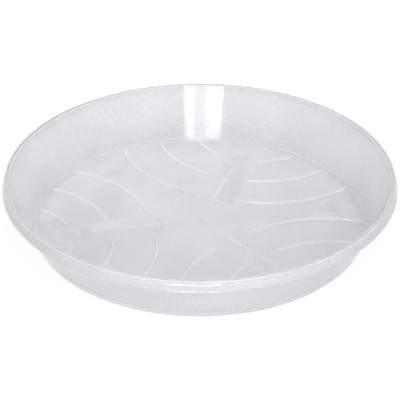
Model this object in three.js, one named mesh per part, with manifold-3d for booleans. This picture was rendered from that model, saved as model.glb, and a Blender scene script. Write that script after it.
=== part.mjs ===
// Round plant saucer, moulded in one piece from milky polypropylene.
// Millimetres, +Z up. The origin is the centre of the base, on the surface that the saucer stands on,
// and the photographed front faces -Y.
import * as THREE from 'three';
import { ConvexGeometry } from 'three/addons/geometries/ConvexGeometry.js';
import { mergeVertices } from 'three/addons/utils/BufferGeometryUtils.js';
import Module from 'manifold-3d';

// Driving dimensions of the bowl
const HEIGHT = 38.2;
const RIM_DIAMETER = 250;
const BASE_DIAMETER = 213.4; // the outer wall's cone where it would meet the table, without its rounding
const WALL = 1.3;
const FLOOR = 1.4;
const BASE_RECESS = 0.8; // the floor's underside stands this far off the table, inside the base ring
const BASE_RING_WIDTH = 7;
const BASE_RING_CHAMFER = 0.8;
const BASE_CORNER_RADIUS = 3;
const INNER_FILLET_RADIUS = 3.8;

// Rim: the lip turns out over the wall and hangs down as a collar, with a channel open underneath
const COLLAR_HEIGHT = 7;
const COLLAR_WALL = 1.4;
const COLLAR_FLARE = 1; // how much wider the collar is at its lower edge than at the lip
const COLLAR_EDGE_RADIUS = 0.6;
const CHANNEL_WIDTH = 1; // between the wall and the collar, at the channel's roof
const LIP_THICKNESS = 1.5;
const LIP_SHOULDER_RADIUS = 1;
const LIP_INNER_RADIUS = 0.8;

// Feet: flush with the base ring below, with a shallow dish above
const FOOT_COUNT = 6;
const FOOT_INSET = 19.2; // from the floor's edge to the circle that the feet stand on
const FOOT_DIAMETER = 13;
const DISH_DIAMETER = 12.6;
const DISH_DEPTH = 0.6;

// Rib pattern on the floor: leaves round the centre, each with a low ridge and pairs of curved veins.
// The ridges are hollow underneath, so that the floor is equally thick all over.
const LEAF_COUNT = 3;
const FIRST_LEAF_AZIMUTH = 71.4; // degrees from +X
const RIDGE_START = 25.5; // from the saucer's centre
const RIDGE_INSET = 29.2; // from the floor's edge to the ridge's outer end
const RIDGE_START_WIDTH = 31;
const RIDGE_END_WIDTH = 21;
const RIDGE_START_HEIGHT = 1.2;
const RIDGE_END_HEIGHT = 0.7;
const RIDGE_INNER_HIP = 2; // the lengths over which the ridge's ends slope
const RIDGE_OUTER_HIP = 6;
const RIB_WIDTH = 2.4;
const RIB_HEIGHT = 0.7;
const RIB_CHAMFER = 0.4;
const RIB_TO_AXIS = 14.2; // from the leaf's axis to the veins' inner ends
const VEINS = [
  // inset: from the floor's edge to the inner end, along the leaf's axis; spread: the outer end's angle
  // from that axis; sweep: how far the vein leans outwards where it starts, from square to the axis
  { inset: 74.6, spread: 48, sweep: 2.7 },
  { inset: 47.2, spread: 33.6, sweep: 10.1 },
  { inset: 20.5, spread: 18.9, sweep: 20.5 },
];

// Fineness of the round forms
const ROUND_SEGMENTS = 96;
const ARC_SEGMENTS = 4;
const VEIN_SEGMENTS = 10;
const FOOT_SEGMENTS = 32;
const SINK = 0.4; // how far an added form reaches into the floor that it is joined to

// Worked out from the driving dimensions
const rimRadius = RIM_DIAMETER / 2;
const baseRadius = BASE_DIAMETER / 2;
const floorTop = BASE_RECESS + FLOOR;
const channelRoof = HEIGHT - LIP_THICKNESS;
const collarFoot = HEIGHT - COLLAR_HEIGHT;
const wallTopRadius = rimRadius - COLLAR_WALL - CHANNEL_WIDTH;
const lean = Math.atan2(wallTopRadius - baseRadius, channelRoof); // of the wall, from upright
const outerWall = (z) => baseRadius + z * Math.tan(lean);
const innerWall = (z) => outerWall(z) - WALL / Math.cos(lean);
const flare = Math.atan2(COLLAR_FLARE, COLLAR_HEIGHT); // of the collar, from upright
const collarFace = (z) => rimRadius + (HEIGHT - z) * Math.tan(flare);
const floorRadius = innerWall(floorTop);
const toRadians = THREE.MathUtils.degToRad;

// Points on an arc, both ends included
function arcPoints(centre, radius, from, to, segments = ARC_SEGMENTS) {
  const points = [];
  for (let i = 0; i <= segments; i += 1) {
    const angle = from + ((to - from) * i) / segments;
    points.push(new THREE.Vector2(Math.cos(angle), Math.sin(angle)).multiplyScalar(radius).add(centre));
  }
  return points;
}

// Half section of the bowl, from the axis under the floor, round the outside, to the axis on the floor
function bowlProfile() {
  const cornerCut = Math.tan((Math.PI / 2 - lean) / 2); // tangent length of a rounding of radius 1
  const ringOuter = baseRadius - BASE_CORNER_RADIUS * cornerCut;
  const ringInner = ringOuter - BASE_RING_WIDTH;
  const corner = new THREE.Vector2(ringOuter, BASE_CORNER_RADIUS);
  const edgeHeight = collarFoot + COLLAR_EDGE_RADIUS;
  const edge = new THREE.Vector2(
    collarFace(edgeHeight) - COLLAR_EDGE_RADIUS / Math.cos(flare),
    edgeHeight,
  );
  const shoulderHeight = HEIGHT - LIP_SHOULDER_RADIUS;
  const shoulder = new THREE.Vector2(
    collarFace(shoulderHeight) - LIP_SHOULDER_RADIUS / Math.cos(flare),
    shoulderHeight,
  );
  const lip = new THREE.Vector2(
    innerWall(HEIGHT) + LIP_INNER_RADIUS * cornerCut,
    HEIGHT - LIP_INNER_RADIUS,
  );
  const fillet = new THREE.Vector2(
    floorRadius - INNER_FILLET_RADIUS * cornerCut,
    floorTop + INNER_FILLET_RADIUS,
  );
  return [
    new THREE.Vector2(0, BASE_RECESS),
    new THREE.Vector2(ringInner - BASE_RING_CHAMFER, BASE_RECESS),
    new THREE.Vector2(ringInner, 0),
    ...arcPoints(corner, BASE_CORNER_RADIUS, -Math.PI / 2, -lean),
    new THREE.Vector2(outerWall(channelRoof), channelRoof),
    new THREE.Vector2(collarFace(channelRoof) - COLLAR_WALL, channelRoof),
    new THREE.Vector2(collarFace(collarFoot) - COLLAR_WALL, collarFoot),
    ...arcPoints(edge, COLLAR_EDGE_RADIUS, -Math.PI / 2, flare),
    ...arcPoints(shoulder, LIP_SHOULDER_RADIUS, flare, Math.PI / 2),
    ...arcPoints(lip, LIP_INNER_RADIUS, Math.PI / 2, Math.PI - lean),
    ...arcPoints(fillet, INNER_FILLET_RADIUS, -lean, -Math.PI / 2),
    new THREE.Vector2(0, floorTop),
  ];
}

// LatheGeometry turns about Y, so what it makes is stood up on Z afterwards
function turned(profile, segments) {
  return new THREE.LatheGeometry(profile, segments).rotateX(Math.PI / 2);
}

function bowl() {
  return turned(bowlProfile(), ROUND_SEGMENTS);
}

// A curved vein of one leaf, along +X: a strip between two arcs, round at its inner end and buried in
// the wall at its outer end. side is 1 on the leaf's left and -1 on its right.
function vein({ inset, spread, sweep }, side) {
  const spreadAngle = toRadians(spread);
  const sweepAngle = toRadians(sweep);
  const innerEnd = new THREE.Vector2(floorRadius - inset, side * RIB_TO_AXIS);
  const outerEnd = new THREE.Vector2(Math.cos(spreadAngle), side * Math.sin(spreadAngle))
    .multiplyScalar(floorRadius);
  const heading = new THREE.Vector2(Math.sin(sweepAngle), side * Math.cos(sweepAngle));
  const outward = new THREE.Vector2(heading.y * side, -heading.x * side);
  const chord = outerEnd.clone().sub(innerEnd);
  const bend = Math.sign(chord.dot(outward)); // 1 where the vein curves outwards
  const radius = chord.lengthSq() / (2 * Math.abs(chord.dot(outward)));
  const turn = 2 * Math.atan2(Math.abs(chord.dot(outward)), chord.dot(heading));
  const centre = innerEnd.clone().addScaledVector(outward, bend * radius);
  const first = Math.atan2(innerEnd.y - centre.y, innerEnd.x - centre.x);
  const last = first - side * bend * turn;
  const half = RIB_WIDTH / 2;
  const tip = arcPoints(innerEnd, half, first - side * bend * Math.PI, first - side * bend * 2 * Math.PI);
  const strip = new THREE.Shape([
    ...arcPoints(centre, radius + half, first, last, VEIN_SEGMENTS),
    ...arcPoints(centre, radius - half, last, first, VEIN_SEGMENTS),
    ...tip.slice(1, -1),
  ]);
  return new THREE.ExtrudeGeometry(strip, {
    depth: SINK + RIB_HEIGHT - RIB_CHAMFER,
    bevelSegments: 1,
    bevelThickness: RIB_CHAMFER,
    bevelSize: RIB_CHAMFER,
    bevelOffset: -RIB_CHAMFER,
  }).translate(0, 0, floorTop - SINK);
}

// The low hip-roofed ridge on a leaf's axis, along +X, standing on a height. Its sides are carried on down
// below that height.
function ridge(seat) {
  const end = floorRadius - RIDGE_INSET;
  const crest = [
    new THREE.Vector3(RIDGE_START + RIDGE_INNER_HIP, 0, seat + RIDGE_START_HEIGHT),
    new THREE.Vector3(end - RIDGE_OUTER_HIP, 0, seat + RIDGE_END_HEIGHT),
  ];
  const points = [...crest];
  for (const side of [-1, 1]) {
    const feet = [
      new THREE.Vector3(RIDGE_START, (side * RIDGE_START_WIDTH) / 2, seat),
      new THREE.Vector3(end, (side * RIDGE_END_WIDTH) / 2, seat),
    ];
    feet.forEach((foot, i) => points.push(foot.lerp(crest[i], -SINK / (crest[i].z - seat))));
  }
  return new ConvexGeometry(points);
}

// A form on the axis, moved out along +X to the circle that the feet stand on
function onFootCircle(geometry) {
  return geometry.translate(floorRadius - FOOT_INSET, 0, 0);
}

// The pad under the floor that stands on the table
function footPad() {
  const radius = FOOT_DIAMETER / 2;
  const height = BASE_RECESS + SINK;
  const pad = new THREE.CylinderGeometry(radius, radius, height, FOOT_SEGMENTS).rotateX(Math.PI / 2);
  return onFootCircle(pad.translate(0, 0, height / 2));
}

// What the shallow dish above a foot takes out of the floor
function footDish() {
  const radius = DISH_DIAMETER / 2;
  const curve = (radius ** 2 + DISH_DEPTH ** 2) / (2 * DISH_DEPTH);
  const centre = new THREE.Vector2(0, floorTop - DISH_DEPTH + curve);
  const top = floorTop + SINK;
  const profile = [
    ...arcPoints(centre, curve, -Math.PI / 2, Math.asin(radius / curve) - Math.PI / 2),
    new THREE.Vector2(radius, top),
    new THREE.Vector2(0, top),
  ];
  return onFootCircle(turned(profile, FOOT_SEGMENTS));
}

const wasm = await Module();
wasm.setup();

function toSolid(geometry) {
  const bare = geometry.clone();
  bare.deleteAttribute('normal');
  bare.deleteAttribute('uv');
  const merged = mergeVertices(bare.index ? bare.toNonIndexed() : bare);
  return new wasm.Manifold(new wasm.Mesh({
    numProp: 3,
    vertProperties: new Float32Array(merged.attributes.position.array),
    triVerts: new Uint32Array(merged.index.array),
  }));
}

function toGeometry(solid) {
  const mesh = solid.getMesh();
  const geometry = new THREE.BufferGeometry();
  geometry.setAttribute('position', new THREE.BufferAttribute(mesh.vertProperties, 3));
  geometry.setIndex(new THREE.BufferAttribute(mesh.triVerts, 1));
  geometry.computeVertexNormals();
  return geometry;
}

// Angles of equal steps round the centre, from the first leaf's axis on
function azimuths(count) {
  const first = toRadians(FIRST_LEAF_AZIMUTH);
  return Array.from({ length: count }, (_, i) => first + (i * 2 * Math.PI) / count);
}

function saucer() {
  const at = (geometry, azimuth) => toSolid(geometry.rotateZ(azimuth));
  let solid = toSolid(bowl());
  for (const azimuth of azimuths(LEAF_COUNT)) {
    solid = solid.add(at(ridge(floorTop), azimuth));
    for (const size of VEINS) {
      for (const side of [-1, 1]) {
        solid = solid.add(at(vein(size, side), azimuth));
      }
    }
  }
  for (const azimuth of azimuths(LEAF_COUNT)) {
    solid = solid.subtract(at(ridge(BASE_RECESS), azimuth));
  }
  for (const azimuth of azimuths(FOOT_COUNT)) {
    solid = solid.add(at(footPad(), azimuth)).subtract(at(footDish(), azimuth));
  }
  const plastic = new THREE.MeshStandardMaterial({ color: 0xdfe1e3, roughness: 0.25, metalness: 0 });
  const mesh = new THREE.Mesh(toGeometry(solid), plastic);
  mesh.name = 'saucer';
  return mesh;
}

const part = new THREE.Group();
part.add(saucer());

export default part;
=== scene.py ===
"""Looks of a round plant saucer, moulded in one piece from milky polypropylene.

The saucer's lengths are millimetres until its mesh is made, and the table, camera and lamps are in metres.
The frame is the CAD model's: +Z up, the origin at the centre of the base on the table, and the
photographed front towards -Y.
"""
import math

import bpy
import numpy as np
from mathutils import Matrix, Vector
from mathutils.geometry import delaunay_2d_cdt


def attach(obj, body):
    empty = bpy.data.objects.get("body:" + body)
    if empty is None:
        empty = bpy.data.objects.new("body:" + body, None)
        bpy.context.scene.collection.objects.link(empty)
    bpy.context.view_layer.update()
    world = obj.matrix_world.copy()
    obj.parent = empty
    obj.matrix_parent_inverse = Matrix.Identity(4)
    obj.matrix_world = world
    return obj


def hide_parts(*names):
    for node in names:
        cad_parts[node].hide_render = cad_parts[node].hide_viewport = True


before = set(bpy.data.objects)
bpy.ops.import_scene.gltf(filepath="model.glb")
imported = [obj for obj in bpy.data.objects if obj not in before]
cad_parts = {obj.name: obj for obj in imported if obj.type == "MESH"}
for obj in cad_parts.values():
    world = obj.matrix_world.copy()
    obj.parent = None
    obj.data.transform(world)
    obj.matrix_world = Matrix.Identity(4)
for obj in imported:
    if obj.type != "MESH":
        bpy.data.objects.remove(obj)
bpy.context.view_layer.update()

MM = 0.001  # one millimetre in Blender's metres

# Bowl
HEIGHT = 37.8
RIM_RADIUS = 125.0
COLLAR_FLARE = 1.0  # how much the collar's radius grows from the lip to its lower edge
BASE_RADIUS = 106.7  # of the outer wall's cone where it would meet the table
WALL = 1.3
FLOOR = 1.4
BASE_RECESS = 0.8  # of the underside within the base ring
BASE_RING_WIDTH = 7.0
BASE_RING_CHAMFER = 0.8
COLLAR_HEIGHT = 6.6
COLLAR_WALL = 1.4
CHANNEL_WIDTH = 1.0  # under the lip, between the wall and the collar
LIP_THICKNESS = 1.5
LIP_STEP = 0.42  # how much the collar stands out under the lip, on a short slope
LIP_STEP_FOOT = 35.3  # above the table
LIP_STEP_HEIGHT = 1.1
EDGE_FLARE = 0.27  # of the collar's lowest part
EDGE_FLARE_HEIGHT = 0.8

# Roundings of the bowl's section
BASE_CORNER_ROUNDING = 5.0
INNER_FILLET = 2.5
SHOULDER_ROUNDING = 0.2
LIP_INNER_ROUNDING = 0.5
STEP_ROUNDING = 0.15
SMALL_ROUNDING = 0.3
BEAD_ROUNDING = 0.1

# Thin bead on the wall, just above the floor's fillet
BEAD_FOOT = 0.05  # above the fillet's upper end
BEAD_WIDTH = 1.3  # from its foot up to its top
BEAD_CREST = 0.2  # from its foot up to the place on the wall that its crest stands off from
BEAD_HEIGHT = 0.4  # how far it stands off the wall

# Rib pattern on the floor: leaves round the centre, each with a low ridge and pairs of curved veins
LEAF_COUNT = 3
FIRST_LEAF_AZIMUTH = math.radians(71.4)
RIDGE_START = 25.5  # from the saucer's centre
RIDGE_INSET = 29.2  # of the ridge's outer end from the floor's edge
RIDGE_START_WIDTH = 31.0
RIDGE_END_WIDTH = 21.0
RIDGE_HEIGHT = 0.8
RIDGE_INNER_HIP = 1.0  # the lengths over which the ridge's ends slope
RIDGE_OUTER_HIP = 6.0
CREST_SOFTNESS = 0.5  # half the width over which the crest is rounded
RIB_WIDTH = 2.4
RIB_HEIGHT = 0.62
RIB_FLANK = 0.237  # share of half a rib's width that slopes
RIB_TO_AXIS = 14.2  # from a vein's inner end to the axis of its leaf
VEINS = (  # inset of the inner end from the floor's edge, spread of the outer end, sweep at the start
    (74.6, math.radians(48.0), math.radians(2.7)),
    (47.2, math.radians(33.6), math.radians(10.1)),
    (20.5, math.radians(18.9), math.radians(20.5)),
)

# Feet: flush with the base ring below, hollow above
FOOT_COUNT = 6
FOOT_INSET = 19.2  # of the feet's centres from the floor's edge
FOOT_RADIUS = 6.5
FOOT_HOLLOW_RADIUS = 6.3
FOOT_HOLLOW_STEP = 0.3  # at the hollow's edge
FOOT_HOLLOW_DEPTH = 0.4  # of its middle below the step

# Gate mark left by the mould at the centre
GATE_RADIUS = 2.6
GATE_DEPTH = 0.35

SPOT_EDGE = 0.5  # the width over which the side of a foot, a hollow or the gate mark slopes

# Painted light and shade: above zero the plastic is painted lighter than on the open floor, below zero
# greyer
# painted light on the base corner, standing in for light thrown up by the table
BASE_PAINTED_LIGHT = 4.0
# painted light on the outer wall's foot, standing in for light from the table
WALL_FOOT_PAINTED_LIGHT = 0.2
WALL_FOOT_HEIGHT = 6.0  # of the line on the outer wall where the base's painted light ends
# painted shade on the outer wall, greyer towards its head under the collar
WALL_HEAD_PAINTED_SHADE = -0.9
# painted shade on the collar and its channel, standing in for the dark edge the rim shows at a grazing
# view
COLLAR_PAINTED_SHADE = -0.7
LIP_PAINTED_SHADE = -1.8  # painted shade along the middle of the lip, standing in for a dark reflection
# painted shade on the lip's inner edge, dimming its bright reflection
LIP_EDGE_PAINTED_SHADE = -0.5
WALL_TOP_PAINTED_LIGHT = 1.2  # painted light just under the lip, fading down the inner wall, in place of light that the lip and collar keep off
WALL_TOP_DROP = 3.0
# painted light along the bead's crest, standing in for light shining through the thin corner
BEAD_PAINTED_LIGHT = 2.4
FILLET_PAINTED_LIGHT = 1.0  # painted light where the fillet meets the bead, and up the fillet
# painted shade on the floor near the wall
FLOOR_EDGE_PAINTED_SHADE = -1.1
FLOOR_EDGE_WIDTH = 22.0  # of the ring where the floor is painted greyer towards the fillet
# painted highlight on the ribs, fainter at their inner ends
RIB_INNER_PAINTED_HIGHLIGHT = 0.4
RIB_OUTER_PAINTED_HIGHLIGHT = 1.1
RIB_INNER_RADIUS = 40.0  # from the saucer's centre, where the ribs' painted highlight starts to grow outwards
# painted highlight along each ridge's crest
CREST_PAINTED_HIGHLIGHT = 2.0
CREST_LINE = 0.9  # half the width of the painted highlight along a crest
# painted shade in the feet's hollows
HOLLOW_PAINTED_SHADE = -0.5

# Fineness of the mesh
SEGMENTS = 360
SPOT_SEGMENTS = 48
ARC_STEP = math.radians(9)
LINE_STEP = 1.6  # between points along a rib or a ridge
TIP_STEPS = 8  # round a rib's inner end
GRID_STEP = 7.0  # between loose points on flat floor
EDGE_LEVELS = (0.0, 0.2, 0.4, 0.6, 0.8, 1.0)  # circles across the side of a spot, as shares of its width
HOLLOW_LEVELS = (1.02, 0.98, 0.8, 0.6, 0.4, 0.2)  # circles over a hollow's bottom, as shares of its radius
RIB_LEVELS = (1.02, 0.98, 0.8, 0.75, 0.4)  # lines over a rib, as shares of half its width
CREST_LINES = (-2.0, -1.0, -0.5, 0.0, 0.5, 1.0, 2.0)  # beside a ridge's crest
CREASE_LINES = (-0.2, 0.2)  # beside its other edges
SLOPE_STEP = 0.02  # for measuring a surface's slope
MERGE_DISTANCE = 0.0005

# Worked out from the sizes above
floor_top = BASE_RECESS + FLOOR
channel_roof = HEIGHT - LIP_THICKNESS
collar_foot = HEIGHT - COLLAR_HEIGHT
flare_top = collar_foot + EDGE_FLARE_HEIGHT
step_top = LIP_STEP_FOOT + LIP_STEP_HEIGHT
wall_top_radius = RIM_RADIUS - COLLAR_WALL - CHANNEL_WIDTH
lean = math.atan2(wall_top_radius - BASE_RADIUS, channel_roof)  # of the wall from upright
corner_cut = math.tan((math.pi / 2 - lean) / 2)  # how far a rounding of 1 starts from the wall's corners


def outer_wall(z):
    """Radius of the outer wall at a height."""
    return BASE_RADIUS + z * math.tan(lean)


def inner_wall(z):
    """Radius of the inner wall at a height."""
    return outer_wall(z) - WALL / math.cos(lean)


def collar_face(z):
    """Radius of the collar's outer face at a height, without its step and its flared edge."""
    return RIM_RADIUS + COLLAR_FLARE * (HEIGHT - z) / COLLAR_HEIGHT


floor_radius = inner_wall(floor_top)
fillet_start = floor_radius - INNER_FILLET * corner_cut  # where the flat floor begins to rise
fillet_end = fillet_start + INNER_FILLET * math.cos(lean)  # where it has become the wall
fillet_height = floor_top + INNER_FILLET * (1 - math.sin(lean))
bead_foot = fillet_height + BEAD_FOOT
over_ribs = INNER_FILLET - RIB_HEIGHT  # from the ribs' tops up to the fillet's centre
rib_reach = fillet_start + math.sqrt(INNER_FILLET**2 - over_ribs**2)  # where it is as high as the ribs
foot_circle = floor_radius - FOOT_INSET
ridge_end = floor_radius - RIDGE_INSET
crest_start = RIDGE_START + RIDGE_INNER_HIP
crest_end = ridge_end - RIDGE_OUTER_HIP


# Section of the bowl

def off_wall(z, distance):
    """The point that stands off the inner wall by a distance, across from a height on it."""
    return inner_wall(z) - distance * math.cos(lean), z + distance * math.sin(lean)


def rounded(corners):
    """Points along an outline: radius, height, the outward normal's radius and height, painted light or
    shade.

    Each corner is (radius, height, rounding, painted light or shade). The first and the last only give a
    direction.
    """
    section = []
    for before, (r1, z1, rounding, light_shade), after in zip(corners, corners[1:], corners[2:]):
        r0, z0 = before[:2]
        r2, z2 = after[:2]
        heading = math.atan2(z1 - z0, r1 - r0)
        turn = math.remainder(math.atan2(z2 - z1, r2 - r1) - heading, 2 * math.pi)
        reach = rounding * math.tan(abs(turn) / 2)
        side = math.copysign(rounding, turn)
        centre_r = r1 - reach * math.cos(heading) - side * math.sin(heading)
        centre_z = z1 - reach * math.sin(heading) + side * math.cos(heading)
        steps = math.ceil(abs(turn) / ARC_STEP) if rounding else 0
        for step in range(steps + 1):
            angle = heading + turn * step / max(steps, 1)
            normal_r, normal_z = math.sin(angle), -math.cos(angle)
            r, z = centre_r + side * normal_r, centre_z + side * normal_z
            section.append((r, z, normal_r, normal_z, light_shade))
    return section


def bowl_section():
    """From the edge of the underside, round the outside and over the lip, down to the floor's fillet."""
    ring_outer = BASE_RADIUS - BASE_CORNER_ROUNDING * corner_cut
    ring_inner = ring_outer - BASE_RING_WIDTH
    lip_middle = (collar_face(HEIGHT) + inner_wall(HEIGHT)) / 2
    # each corner's last number is painted light (above zero) or painted shade (below zero)
    corners = [
        (0, BASE_RECESS),
        (ring_inner - BASE_RING_CHAMFER, BASE_RECESS, SMALL_ROUNDING, 0),
        (ring_inner, 0, SMALL_ROUNDING, 0),
        (BASE_RADIUS, 0, BASE_CORNER_ROUNDING, BASE_PAINTED_LIGHT),
        (outer_wall(WALL_FOOT_HEIGHT), WALL_FOOT_HEIGHT, 0, WALL_FOOT_PAINTED_LIGHT),
        (outer_wall(channel_roof), channel_roof, SMALL_ROUNDING, WALL_HEAD_PAINTED_SHADE),
        (collar_face(channel_roof) - COLLAR_WALL, channel_roof, SMALL_ROUNDING, COLLAR_PAINTED_SHADE),
        (collar_face(collar_foot) - COLLAR_WALL, collar_foot, SMALL_ROUNDING, COLLAR_PAINTED_SHADE),
        (collar_face(collar_foot) + EDGE_FLARE, collar_foot, STEP_ROUNDING, COLLAR_PAINTED_SHADE),
        (collar_face(flare_top), flare_top, STEP_ROUNDING, COLLAR_PAINTED_SHADE),
        (collar_face(LIP_STEP_FOOT), LIP_STEP_FOOT, STEP_ROUNDING, COLLAR_PAINTED_SHADE),
        (collar_face(step_top) - LIP_STEP, step_top, STEP_ROUNDING, COLLAR_PAINTED_SHADE),
        (collar_face(HEIGHT) - LIP_STEP, HEIGHT, SHOULDER_ROUNDING, COLLAR_PAINTED_SHADE),
        (lip_middle, HEIGHT, 0, LIP_PAINTED_SHADE),
        (inner_wall(HEIGHT), HEIGHT, LIP_INNER_ROUNDING, LIP_EDGE_PAINTED_SHADE),
        (*off_wall(HEIGHT - WALL_TOP_DROP, 0), 0, WALL_TOP_PAINTED_LIGHT),
        (*off_wall(bead_foot + BEAD_WIDTH, 0), BEAD_ROUNDING, 0),
        (*off_wall(bead_foot + BEAD_CREST, BEAD_HEIGHT), BEAD_ROUNDING, BEAD_PAINTED_LIGHT),
        (*off_wall(bead_foot, 0), BEAD_ROUNDING, FILLET_PAINTED_LIGHT),
        (floor_radius, floor_top),
    ]
    section = rounded(corners)
    section.append((fillet_end, fillet_height, -math.cos(lean), math.sin(lean), FILLET_PAINTED_LIGHT))
    return section


# Heights of the floor and of its underside

def azimuths(count):
    """Even directions round the centre, the first of them the first leaf's."""
    return [FIRST_LEAF_AZIMUTH + k * 2 * math.pi / count for k in range(count)]


def leaf_frames(x, y):
    """The points in the frame of each leaf: along its axis and across it."""
    for azimuth in azimuths(LEAF_COUNT):
        c, s = math.cos(azimuth), math.sin(azimuth)
        yield x * c + y * s, y * c - x * s


def foot_centres():
    """Where the feet stand."""
    for azimuth in azimuths(FOOT_COUNT):
        yield foot_circle * math.cos(azimuth), foot_circle * math.sin(azimuth)


def smooth_step(share):
    """A soft rise from 0 to 1."""
    share = np.clip(share, 0, 1)
    return share * share * (3 - 2 * share)


def dish(x, y, centre, radius):
    """1 at the middle of a round hollow, falling to 0 at its edge."""
    distance = np.hypot(x - centre[0], y - centre[1])
    return np.clip(1 - (distance / radius)**2, 0, 1)


def disc(x, y, centre, radius):
    """1 inside a round spot and 0 outside it, with a soft edge just inside its radius."""
    distance = np.hypot(x - centre[0], y - centre[1])
    return smooth_step((radius - distance) / SPOT_EDGE)


def vein_arc(inset, spread, sweep):
    """Centre, radius, first angle and inner end of a vein on a leaf's left, with the leaf along +X."""
    inner = np.array((floor_radius - inset, RIB_TO_AXIS))
    outer = floor_radius * np.array((math.cos(spread), math.sin(spread)))
    outward = np.array((math.cos(sweep), -math.sin(sweep)))
    chord = outer - inner
    radius = chord @ chord / (2 * chord @ outward)
    centre = inner + radius * outward
    return centre, radius, math.atan2(-outward[1], -outward[0]), inner


def vein_distance(along, across, vein):
    """Distance from a vein's centre line, on both sides of its leaf."""
    centre, radius, first, inner = vein_arc(*vein)
    dx, dy = along - centre[0], np.abs(across) - centre[1]
    past = np.mod(first - np.arctan2(dy, dx), 2 * math.pi) < math.pi / 2
    beside = np.abs(np.hypot(dx, dy) - radius)
    return np.where(past, beside, np.hypot(along - inner[0], np.abs(across) - inner[1]))


def rib_profile(along, across, vein):
    """1 on top of a vein's rib and 0 beside it, with sloping flanks."""
    aside = 2 * vein_distance(along, across, vein) / RIB_WIDTH
    return np.clip((1 - aside) / RIB_FLANK, 0, 1)


def ridge_rise(along, across):
    """Height of the hip-roofed ridge on a leaf's axis, below zero outside its foot."""
    share = np.clip((along - RIDGE_START) / (ridge_end - RIDGE_START), 0, 1)
    half = (RIDGE_START_WIDTH + (RIDGE_END_WIDTH - RIDGE_START_WIDTH) * share) / 2
    sides = 1 - (np.hypot(across, CREST_SOFTNESS) - CREST_SOFTNESS) / (half - CREST_SOFTNESS)
    inner, outer = (along - RIDGE_START) / RIDGE_INNER_HIP, (ridge_end - along) / RIDGE_OUTER_HIP
    return RIDGE_HEIGHT * np.minimum(sides, np.minimum(inner, outer))


def floor_surface(x, y):
    """Height of the floor, with its ridges, ribs, fillet, hollows and gate mark."""
    rise = np.zeros_like(x)
    for along, across in leaf_frames(x, y):
        rise = np.maximum(rise, ridge_rise(along, across))
        for vein in VEINS:
            rise = np.maximum(rise, RIB_HEIGHT * rib_profile(along, across, vein))
    beyond = np.clip(np.hypot(x, y) - fillet_start, 0, INNER_FILLET)
    rise = np.maximum(rise, INNER_FILLET - np.sqrt(INNER_FILLET**2 - beyond**2))
    for centre in foot_centres():
        rise = rise - FOOT_HOLLOW_DEPTH * dish(x, y, centre, FOOT_HOLLOW_RADIUS)
        rise = rise - FOOT_HOLLOW_STEP * disc(x, y, centre, FOOT_HOLLOW_RADIUS)
    return floor_top + rise - GATE_DEPTH * disc(x, y, (0, 0), GATE_RADIUS)


def floor_light_shade(x, y):
    """Painted light and shade of the floor: painted highlights on ribs and crests, painted light on the
    fillet, painted shade in the hollows and towards the edge.
    """
    radius = np.hypot(x, y)
    outward = np.clip((radius - RIB_INNER_RADIUS) / (fillet_start - RIB_INNER_RADIUS), 0, 1)
    rib_highlight = (radius < rib_reach) * (RIB_INNER_PAINTED_HIGHLIGHT + (RIB_OUTER_PAINTED_HIGHLIGHT - RIB_INNER_PAINTED_HIGHLIGHT) * outward)
    light_shade = np.zeros_like(x)
    for along, across in leaf_frames(x, y):
        on_crest = (along > RIDGE_START) & (along < crest_end)
        light_shade = np.maximum(light_shade, on_crest * CREST_PAINTED_HIGHLIGHT * np.clip(1 - np.abs(across) / CREST_LINE, 0, 1))
        for vein in VEINS:
            light_shade = np.maximum(light_shade, rib_highlight * rib_profile(along, across, vein))
    for centre in foot_centres():
        light_shade = light_shade + HOLLOW_PAINTED_SHADE * disc(x, y, centre, FOOT_HOLLOW_RADIUS)
    near_edge = np.clip(1 - (fillet_start - radius) / FLOOR_EDGE_WIDTH, 0, 1)
    up = np.clip((radius - fillet_start) / (fillet_end - fillet_start), 0, 1)
    return light_shade + FLOOR_EDGE_PAINTED_SHADE * near_edge * (1 - up) + FILLET_PAINTED_LIGHT * up


def under_surface(x, y):
    """Height of the underside: hollow under the ridges, with the feet and the gate mark standing down."""
    rise = np.zeros_like(x)
    for along, across in leaf_frames(x, y):
        rise = np.maximum(rise, ridge_rise(along, across))
    for centre in foot_centres():
        rise = rise - BASE_RECESS * disc(x, y, centre, FOOT_RADIUS)
    return BASE_RECESS + rise - GATE_DEPTH * disc(x, y, (0, 0), GATE_RADIUS)


def under_light_shade(x, y):
    """The underside gets no painted light or shade, like the open floor."""
    return np.zeros_like(x)


# Lines that the triangles of the floor and its underside follow

def round_points(centre, radius, angles):
    """Points at some angles on a circle."""
    return [(centre[0] + radius * math.cos(a), centre[1] + radius * math.sin(a)) for a in angles]


def circle(radius, centre=(0, 0), count=SEGMENTS):
    """A whole circle, without its first point again at the end."""
    return round_points(centre, radius, [2 * math.pi * k / count for k in range(count)])


def arc(centre, radius, first, last, steps=None):
    """Part of a circle from one angle to another."""
    steps = steps or math.ceil(abs(last - first) * radius / LINE_STEP)
    return round_points(centre, radius, [first + (last - first) * k / steps for k in range(steps + 1)])


def spot_circles(centre, radius):
    """Circles across the side of a foot, a hollow or the gate mark."""
    return [circle(radius - SPOT_EDGE * level, centre, SPOT_SEGMENTS) for level in EDGE_LEVELS]


def dish_circles(centre, radius):
    """Circles over the bottom of a hollow."""
    return [circle(radius * level, centre, SPOT_SEGMENTS) for level in HOLLOW_LEVELS]


def turn_to_wall(centre, radius, first):
    """How far an arc turns clockwise from its first angle until the fillet has swallowed the rib."""
    far, bearing = math.hypot(*centre), math.atan2(centre[1], centre[0])
    swing = math.acos((rib_reach**2 - far**2 - radius**2) / (2 * far * radius))
    return min((first - bearing - sign * swing) % (2 * math.pi) for sign in (-1, 1))


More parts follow.
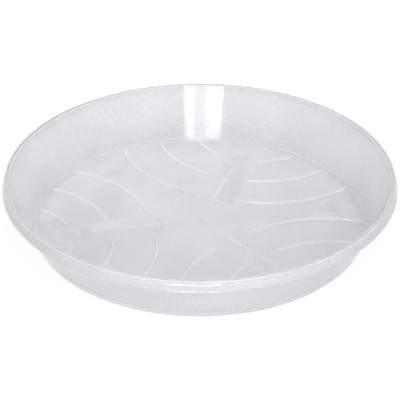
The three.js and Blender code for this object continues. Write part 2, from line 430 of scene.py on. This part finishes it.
def vein_outline(vein, side, offset):
    """A line round a vein at a distance from its centre line, open where the vein runs into the wall."""
    centre, radius, first, inner = vein_arc(*vein)
    inside, outside = (
        arc(centre, reach, first, first - turn_to_wall(centre, reach, first))
        for reach in (radius - offset, radius + offset)
    )
    tip = arc(inner, offset, first - math.pi, first - 2 * math.pi, TIP_STEPS)
    outline = inside[::-1] + tip[1:-1] + outside
    return [(x, side * y) for x, y in outline]


def turned(line, azimuth):
    """A line in a leaf's frame, turned to the leaf's place."""
    c, s = math.cos(azimuth), math.sin(azimuth)
    return [(x * c - y * s, x * s + y * c) for x, y in line]


def divided(start, end):
    """The straight line between two points, with points along it."""
    (x0, y0), (x1, y1) = start, end
    steps = math.ceil(math.hypot(x1 - x0, y1 - y0) / LINE_STEP)
    return [start] + [
        (x0 + (x1 - x0) * k / steps, y0 + (y1 - y0) * k / steps) for k in range(1, steps + 1)
    ]


def ridge_lines(azimuth):
    """Lines along the crest, the hips and the foot of a ridge."""
    lines = [divided((crest_start, across), (crest_end, across)) for across in CREST_LINES]
    for side in (-1, 1):
        near, far = side * RIDGE_START_WIDTH / 2, side * RIDGE_END_WIDTH / 2
        for aside in CREASE_LINES:
            start, end = RIDGE_START + aside, ridge_end + aside
            lines += [
                divided((RIDGE_START, near + side * aside), (ridge_end, far + side * aside)),
                divided((crest_start + aside, 0), (start, near)),
                divided((crest_end + aside, 0), (end, far)),
                divided((start, 0), (start, near)),
                divided((end, 0), (end, far)),
            ]
    return [turned(line, azimuth) for line in lines]


def floor_lines():
    """The floor's lines: closed loops, and open ones."""
    loops = [circle(fillet_start)]
    fillet_turn = math.pi / 2 - lean
    steps = math.ceil(fillet_turn / ARC_STEP)
    for step in range(1, steps):
        loops.append(circle(fillet_start + INNER_FILLET * math.sin(fillet_turn * step / steps)))
    for centre in foot_centres():
        loops += dish_circles(centre, FOOT_HOLLOW_RADIUS - SPOT_EDGE)
        loops += spot_circles(centre, FOOT_HOLLOW_RADIUS)
    loops += spot_circles((0, 0), GATE_RADIUS)
    opens = []
    for azimuth in azimuths(LEAF_COUNT):
        opens += ridge_lines(azimuth)
        for vein in VEINS:
            for side in (-1, 1):
                for level in RIB_LEVELS:
                    opens.append(turned(vein_outline(vein, side, level * RIB_WIDTH / 2), azimuth))
    return loops, opens


def under_lines():
    """The underside's lines: closed loops, and open ones."""
    loops = spot_circles((0, 0), GATE_RADIUS)
    for centre in foot_centres():
        loops += spot_circles(centre, FOOT_RADIUS)
    opens = []
    for azimuth in azimuths(LEAF_COUNT):
        opens += ridge_lines(azimuth)
    return loops, opens


# Meshes

def sheet(radius, loops, opens, surface):
    """Triangles of a round sheet: points, normals, faces, and the points that lie on its edge in order."""
    points = [Vector(p) for p in circle(radius)]
    edges = [(k, (k + 1) % SEGMENTS) for k in range(SEGMENTS)]
    for number, line in enumerate(loops + opens):
        first = len(points)
        points += [Vector(p) for p in line]
        edges += [(first + k, first + k + 1) for k in range(len(line) - 1)]
        if number < len(loops):
            edges.append((first + len(line) - 1, first))
    for ring in range(1, int(radius / GRID_STEP)):
        points += [Vector(p) for p in circle(ring * GRID_STEP, count=round(2 * math.pi * ring))]
    flat, _, faces, origins, _, _ = delaunay_2d_cdt(points, edges, [], 0, MERGE_DISTANCE)
    x, y = np.array([p[:] for p in flat]).T
    slope_x = (surface(x + SLOPE_STEP, y) - surface(x - SLOPE_STEP, y)) / (2 * SLOPE_STEP)
    slope_y = (surface(x, y + SLOPE_STEP) - surface(x, y - SLOPE_STEP)) / (2 * SLOPE_STEP)
    normals = np.column_stack((-slope_x, -slope_y, np.ones_like(x)))
    normals /= np.linalg.norm(normals, axis=1)[:, None]
    rim = {origin: k for k, merged in enumerate(origins) for origin in merged if origin < SEGMENTS}
    return np.column_stack((x, y, surface(x, y))), normals, faces, [rim[k] for k in range(SEGMENTS)]


def saucer_mesh():
    """The bowl's section turned round the axis, closed by the underside and the floor."""
    section = bowl_section()
    angles = np.arange(SEGMENTS) * 2 * math.pi / SEGMENTS
    around = np.column_stack((np.cos(angles), np.sin(angles)))
    points, normals, faces, painted_light_shade = [], [], [], []
    for r, z, normal_r, normal_z, light_shade in section:
        points += [(r * c, r * s, z) for c, s in around]
        normals += [(normal_r * c, normal_r * s, normal_z) for c, s in around]
        painted_light_shade += [light_shade] * SEGMENTS
    for ring in range(len(section) - 1):
        near, far = ring * SEGMENTS, (ring + 1) * SEGMENTS
        for k in range(SEGMENTS):
            after = (k + 1) % SEGMENTS
            faces.append((near + k, near + after, far + after, far + k))

    def add_sheet(radius, lines, surface, light_shade, first_rim, downwards):
        """Add a sheet whose edge takes the section's points from first_rim on."""
        flat, tilt, triangles, rim = sheet(radius, *lines, surface)
        sheet_light_shade = light_shade(flat[:, 0], flat[:, 1])
        vertices = {index: first_rim + k for k, index in enumerate(rim)}
        for index in range(len(flat)):
            if index not in vertices:
                vertices[index] = len(points)
                points.append(tuple(flat[index]))
                normals.append(tuple(-tilt[index] if downwards else tilt[index]))
                painted_light_shade.append(sheet_light_shade[index])
        for triangle in triangles:
            corners = [vertices[index] for index in triangle]
            faces.append(tuple(reversed(corners)) if downwards else tuple(corners))

    last_ring = (len(section) - 1) * SEGMENTS
    add_sheet(section[0][0], under_lines(), under_surface, under_light_shade, 0, True)
    add_sheet(section[-1][0], floor_lines(), floor_surface, floor_light_shade, last_ring, False)
    mesh = bpy.data.meshes.new("saucer_body")
    mesh.from_pydata([tuple(MM * v for v in p) for p in points], [], faces)
    mesh.shade_smooth()
    mesh.normals_split_custom_set_from_vertices(normals)
    # painted light and shade at each point, which the material multiplies into the colour
    mesh.attributes.new("painted_light_shade", "FLOAT", "POINT").data.foreach_set("value", painted_light_shade)
    return mesh


# Materials

DARK_CLOUD = (0.70, 0.713, 0.73)
LIGHT_CLOUD = (0.86, 0.875, 0.893)
DARK_MOTTLE = 0.38  # the mottle's values that take the dark and the light colour
LIGHT_MOTTLE = 0.62
HAZE_SCALE = 22.0  # wide clouds
HAZE_DETAIL = 3.0
GRAIN_SCALE = 1300.0  # fine grain
GRAIN_DETAIL = 2.0
GRAIN_SHARE = 0.65  # of the mottle, and the rest is haze
GRAIN_BUMP = 0.1
GRAIN_DEPTH = 0.1 * MM
LIGHT_SHADE_GAIN = 0.1  # how much the colour gains for a painted light of 1
WALL_ROUGHNESS = 0.07
FLOOR_ROUGHNESS = 0.12
POLISH_FADE = 1.0  # width of the ring where the floor's roughness becomes the wall's
PLASTIC_IOR = 1.49
SCATTER_DISTANCE = 4.0 * MM

TABLE_SIDE = 12.0
TABLE_GREY = (0.6, 0.6, 0.6, 1)  # for the light that the table throws on the saucer
TABLE_SHADE = (0.1, 0.1, 0.1, 1)  # for the shadow that is seen on it
TABLE_GLOW = 0.93


def set_inputs(node, inputs):
    """Set a node's inputs, by name or number, to values or to the outputs of other nodes."""
    for socket, value in inputs.items():
        if isinstance(value, bpy.types.NodeSocket):
            node.id_data.links.new(value, node.inputs[socket])
        else:
            node.inputs[socket].default_value = value


def new_node(tree, kind, inputs, **settings):
    """A node with its inputs and its settings."""
    node = tree.nodes.new(kind)
    for name, value in settings.items():
        setattr(node, name, value)
    set_inputs(node, inputs)
    return node


def calculation(tree, operation, *operands):
    """The output of a maths node on numbers or on the outputs of other nodes."""
    return new_node(tree, "ShaderNodeMath", dict(enumerate(operands)), operation=operation).outputs[0]


def milky_plastic():
    """Milky plastic with faint clouds and a fine grain, more polished on the walls than on the floor, its
    colour scaled by the painted light and shade.
    """
    material = bpy.data.materials.new("milky_plastic")
    material.use_nodes = True
    tree = material.node_tree
    spot = new_node(tree, "ShaderNodeTexCoord", {}).outputs["Object"]
    haze, grain = (
        new_node(tree, "ShaderNodeTexNoise", {"Vector": spot, "Scale": scale, "Detail": detail})
        for scale, detail in ((HAZE_SCALE, HAZE_DETAIL), (GRAIN_SCALE, GRAIN_DETAIL))
    )
    mottle = new_node(
        tree, "ShaderNodeMix", {"Factor": GRAIN_SHARE, "A": haze.outputs["Fac"], "B": grain.outputs["Fac"]}
    )
    tint = new_node(tree, "ShaderNodeValToRGB", {"Fac": mottle.outputs["Result"]})
    dark, light = tint.color_ramp.elements
    dark.position, dark.color = DARK_MOTTLE, (*DARK_CLOUD, 1)
    light.position, light.color = LIGHT_MOTTLE, (*LIGHT_CLOUD, 1)
    # painted light and shade from the mesh lighten or grey the colour
    light_shade = new_node(tree, "ShaderNodeAttribute", {}, attribute_name="painted_light_shade")
    gain = calculation(tree, "MULTIPLY_ADD", light_shade.outputs["Fac"], LIGHT_SHADE_GAIN, 1)
    colour = new_node(
        tree, "ShaderNodeVectorMath", {0: tint.outputs["Color"], "Scale": gain}, operation="SCALE"
    )
    level_spot = new_node(tree, "ShaderNodeVectorMath", {0: spot, 1: (1, 1, 0)}, operation="MULTIPLY")
    radius = new_node(
        tree, "ShaderNodeVectorMath", {0: level_spot.outputs["Vector"]}, operation="LENGTH"
    )
    roughness = new_node(tree, "ShaderNodeMapRange", {
        "Value": radius.outputs["Value"],
        "From Min": (fillet_start - POLISH_FADE) * MM,
        "From Max": fillet_start * MM,
        "To Min": FLOOR_ROUGHNESS,
        "To Max": WALL_ROUGHNESS,
    })
    bump = new_node(tree, "ShaderNodeBump", {
        "Height": grain.outputs["Fac"],
        "Strength": GRAIN_BUMP,
        "Distance": GRAIN_DEPTH,
    })
    set_inputs(tree.nodes["Principled BSDF"], {
        "Base Color": colour.outputs["Vector"],
        "Roughness": roughness.outputs["Result"],
        "Normal": bump.outputs["Normal"],
        "IOR": PLASTIC_IOR,
        "Subsurface Weight": 1.0,
        "Subsurface Radius": (1.0, 1.0, 1.0),
        "Subsurface Scale": SCATTER_DISTANCE,
    })
    return material


def table_top():
    """A white table: white to the eye and in reflections, with a soft shadow, and grey to other light."""
    material = bpy.data.materials.new("table_top")
    material.use_nodes = True
    tree = material.node_tree
    tree.nodes.remove(tree.nodes["Principled BSDF"])
    grey = new_node(tree, "ShaderNodeBsdfDiffuse", {"Color": TABLE_GREY})
    shade = new_node(tree, "ShaderNodeBsdfDiffuse", {"Color": TABLE_SHADE})
    glow = new_node(tree, "ShaderNodeEmission", {"Strength": TABLE_GLOW})
    white = new_node(tree, "ShaderNodeAddShader", {0: shade.outputs[0], 1: glow.outputs[0]})
    rays = new_node(tree, "ShaderNodeLightPath", {}).outputs
    seen = calculation(tree, "MAXIMUM", rays["Is Camera Ray"], rays["Is Glossy Ray"])
    seen = calculation(tree, "MAXIMUM", seen, rays["Is Transmission Ray"])
    choice = new_node(
        tree, "ShaderNodeMixShader", {"Fac": seen, 1: grey.outputs[0], 2: white.outputs[0]}
    )
    set_inputs(tree.nodes["Material Output"], {"Surface": choice.outputs[0]})
    return material


# Scene

def link(name, data):
    """A new object in the scene."""
    thing = bpy.data.objects.new(name, data)
    bpy.context.scene.collection.objects.link(thing)
    return thing


saucer = link("saucer_body", saucer_mesh())
saucer.data.materials.append(milky_plastic())
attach(saucer, "root")
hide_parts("saucer")

half_side = TABLE_SIDE / 2
table_corners = [(x * half_side, y * half_side, 0) for x, y in ((-1, -1), (1, -1), (1, 1), (-1, 1))]
table_mesh = bpy.data.meshes.new("table")
table_mesh.from_pydata(table_corners, [], [(0, 1, 2, 3)])
table = link("table", table_mesh)
table.data.materials.append(table_top())

# Camera, fitted to the rim and the base in the photograph
CAMERA_AXIS_HEIGHT = 37.5 * MM  # of the point on the axis that it is placed from
CAMERA_DISTANCE = 1.125
CAMERA_ELEVATION = math.radians(30.34)
CAMERA_PITCH = math.radians(31.19)  # how far down it looks
LENS = 158.2
camera_data = bpy.data.cameras.new("camera")
camera_data.lens = LENS
camera = link("camera", camera_data)
camera.location = (
    0,
    -CAMERA_DISTANCE * math.cos(CAMERA_ELEVATION),
    CAMERA_AXIS_HEIGHT + CAMERA_DISTANCE * math.sin(CAMERA_ELEVATION),
)
camera.rotation_euler = (math.pi / 2 - CAMERA_PITCH, 0, 0)
bpy.context.scene.camera = camera

# Light: a room that is lightest overhead, with glowing panels in front, overhead and behind
HORIZON_LEVEL = 0.17
ZENITH_LEVEL = 1.57
SKY_POWER = 2.0  # the higher, the further up from the horizon it stays dim
SIDE_GAIN = 0.2  # how much lighter it is towards +X
BACK_DIMMING = 0.8  # how much it dims towards the back and the front
FRONT_DIMMING = 0.5

PANEL_DISTANCE = 1.5
PANELS = (  # name, sides in degrees from the front towards +X, foot and top in degrees, radiance
    ("left_box", -14.8, -4.4, 14, 25, 7.0),
    ("box_gap", -4.4, 3.65, 14, 25, 3.3),
    ("right_box", 3.65, 10.3, 14, 25, 7.0),
    ("overhead_strip", -16.8, 12.3, 26, 97, 4.2),
    ("low_front", -56, 46, 1, 13, 2.2),
    ("low_backdrop", 166, 188, 0, 28, 1.0),
    ("high_backdrop", 175, 185, 28, 33, 0.9),
    ("top_backdrop", 178, 187, 33, 44, 0.55),
)


def studio():
    """A white room whose light falls off from overhead to the horizon, the back and the front."""
    world = bpy.data.worlds.new("studio")
    world.use_nodes = True
    tree = world.node_tree
    place = new_node(tree, "ShaderNodeTexCoord", {}).outputs["Generated"]
    axes = new_node(tree, "ShaderNodeSeparateXYZ", {"Vector": place}).outputs
    front = calculation(tree, "MULTIPLY", axes["Y"], -FRONT_DIMMING / BACK_DIMMING)
    depth = calculation(tree, "MAXIMUM", axes["Y"], front)
    height = calculation(tree, "MULTIPLY_ADD", depth, -BACK_DIMMING, axes["Z"])
    slant = calculation(tree, "MULTIPLY_ADD", axes["X"], SIDE_GAIN, height)
    slant.node.use_clamp = True
    rise = calculation(tree, "POWER", slant, SKY_POWER)
    level = new_node(
        tree, "ShaderNodeMapRange", {"Value": rise, "To Min": HORIZON_LEVEL, "To Max": ZENITH_LEVEL}
    )
    set_inputs(tree.nodes["Background"], {"Color": (1, 1, 1, 1), "Strength": level.outputs["Result"]})
    return world


def panel(name, left, right, low, high, radiance):
    """A glowing panel that faces the object, between two azimuths and two elevations."""
    across, up = math.radians(right - left) / 2, math.radians(high - low) / 2
    azimuth, elevation = math.radians(left + right) / 2, math.radians(low + high) / 2
    lamp = bpy.data.lights.new(name, "AREA")
    lamp.shape = "RECTANGLE"
    lamp.size = 2 * PANEL_DISTANCE * math.cos(elevation) * math.tan(across)
    lamp.size_y = 2 * PANEL_DISTANCE * math.tan(up)
    lamp.energy = radiance * math.pi * lamp.size * lamp.size_y
    lit = link(name, lamp)
    lit.location = (
        PANEL_DISTANCE * math.cos(elevation) * math.sin(azimuth),
        -PANEL_DISTANCE * math.cos(elevation) * math.cos(azimuth),
        PANEL_DISTANCE * math.sin(elevation),
    )
    lit.rotation_euler = (math.pi / 2 - elevation, 0, azimuth)


bpy.context.scene.world = studio()
for settings in PANELS:
    panel(*settings)

bpy.context.scene.view_settings.view_transform = "Standard"
